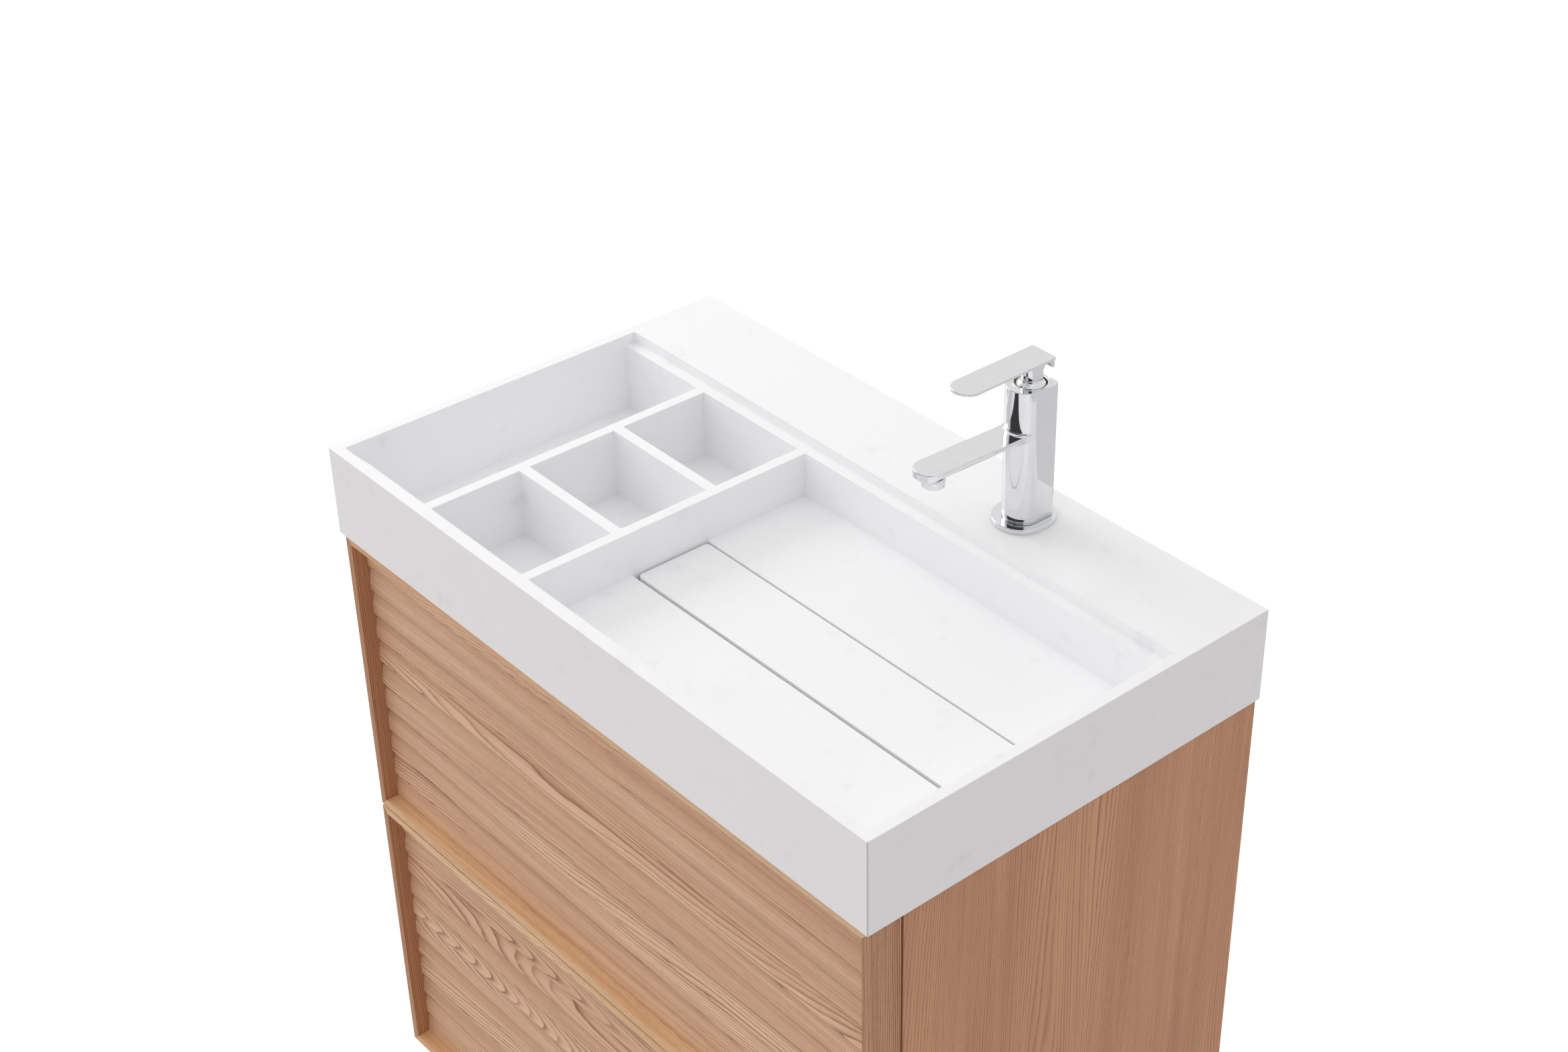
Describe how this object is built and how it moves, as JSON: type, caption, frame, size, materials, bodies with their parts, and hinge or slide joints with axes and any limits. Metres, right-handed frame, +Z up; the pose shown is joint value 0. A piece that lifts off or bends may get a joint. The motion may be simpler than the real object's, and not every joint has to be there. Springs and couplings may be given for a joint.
{
  "type": "vanity unit with integrated trough basin",
  "caption": "Bathroom vanity: solid-surface slab with side tray, small cells and a covered trough basin, lever mixer tap, and fluted wooden drawers.",
  "frame": {"origin": "on the floor, under the middle of the slab", "axes": "+X to the right, +Y towards the wall, +Z up; the drawer fronts face -Y"},
  "size_m": [0.8, 0.48, 1.023],
  "materials": {
    "solid_surface": "satin white solid surface, faintly mottled",
    "ash_veneer": "oiled ash, fine straight and cathedral grain",
    "pale_board": "lacquered pale board",
    "chrome": "polished",
    "zinc_steel": "zinc plated",
    "brass": "machined",
    "white_plastic": "moulded",
    "grey_plastic": "moulded",
    "black_plastic": "moulded",
    "grey_rubber": "moulded"
  },
  "bodies": {
    "vanity": {"aerator_housing": "chrome", "aerator_insert": "black_plastic", "back_apron": "solid_surface", "back_inner_wall": "solid_surface", "back_rails": "pale_board", "basin_floor": "solid_surface", "bottom_panel": "pale_board", "cabinet_slides": "zinc_steel", "cartridge_nut": "brass", "cell_dividers": "solid_surface", "cross_rails": "pale_board", "front_apron": "solid_surface", "front_inner_wall": "solid_surface", "left_apron": "solid_surface", "left_side_panel": "ash_veneer", "levelling_feet": "black_plastic", "long_dividers": "solid_surface", "mixer_cartridge": "grey_plastic", "right_apron": "solid_surface", "right_side_panel": "ash_veneer", "tap_base_plate": "chrome", "tap_body": "chrome", "tap_clamp": "zinc_steel", "tap_collar": "chrome", "tap_deck": "solid_surface", "tap_inlets": "brass", "tap_stud": "zinc_steel", "tap_trim_ring": "chrome", "toe_kick": "ash_veneer", "trap_bottle": "white_plastic", "trap_cup": "white_plastic", "trap_pipes": "white_plastic", "tray_floor": "solid_surface", "trough_bottom": "solid_surface", "trough_walls": "solid_surface", "wall_plates": "zinc_steel", "waste_flange": "chrome", "waste_nuts": "white_plastic"},
    "upper_drawer": {"upper_front_rails": "ash_veneer", "upper_front_stiles": "ash_veneer", "upper_fluted_panel": "ash_veneer", "upper_box_sides": "pale_board", "upper_box_back": "pale_board", "upper_box_base": "pale_board", "upper_drawer_slides": "zinc_steel"},
    "lower_drawer": {"lower_front_rails": "ash_veneer", "lower_front_stiles": "ash_veneer", "lower_fluted_panel": "ash_veneer", "lower_box_sides": "pale_board", "lower_box_back": "pale_board", "lower_box_base": "pale_board", "lower_drawer_slides": "zinc_steel"},
    "upper_slide_middles": {"upper_middle_slides": "zinc_steel"},
    "lower_slide_middles": {"lower_middle_slides": "zinc_steel"},
    "drain_cover": {"drain_cover": "solid_surface", "cover_pads": "grey_rubber"},
    "cartridge_carrier": {"cartridge_carrier": "grey_plastic"},
    "lever": {"tap_lever": "chrome", "lever_screw": "zinc_steel", "cartridge_stem": "brass"}
  },
  "joints": [
    {"name": "upper_drawer_slide", "type": "slide", "parent": "vanity", "child": "upper_drawer", "axis": [0, -1, 0], "range_m": [0, 0.33]},
    {"name": "upper_middle_slide", "type": "slide", "parent": "vanity", "child": "upper_slide_middles", "axis": [0, -1, 0], "range_m": [0, 0.165]},
    {"name": "lower_drawer_slide", "type": "slide", "parent": "vanity", "child": "lower_drawer", "axis": [0, -1, 0], "range_m": [0, 0.33]},
    {"name": "lower_middle_slide", "type": "slide", "parent": "vanity", "child": "lower_slide_middles", "axis": [0, -1, 0], "range_m": [0, 0.165]},
    {"name": "drain_cover_lift", "type": "slide", "parent": "vanity", "child": "drain_cover", "axis": [0, 0, 1], "range_m": [0, 0.06]},
    {"name": "tap_swivel", "type": "hinge", "parent": "vanity", "child": "cartridge_carrier", "pos_m": [0.146, 0.185, 0.9855], "axis": [0, 0, 1], "range_deg": [-45, 45]},
    {"name": "tap_lift", "type": "hinge", "parent": "cartridge_carrier", "child": "lever", "pos_m": [0.146, 0.185, 0.9855], "axis": [-1, 0, 0], "range_deg": [0, 20]}
  ],
  "couplings": [
    {"joint": "upper_middle_slide", "follows": "upper_drawer_slide", "ratio": 0.5},
    {"joint": "lower_middle_slide", "follows": "lower_drawer_slide", "ratio": 0.5}
  ]
}
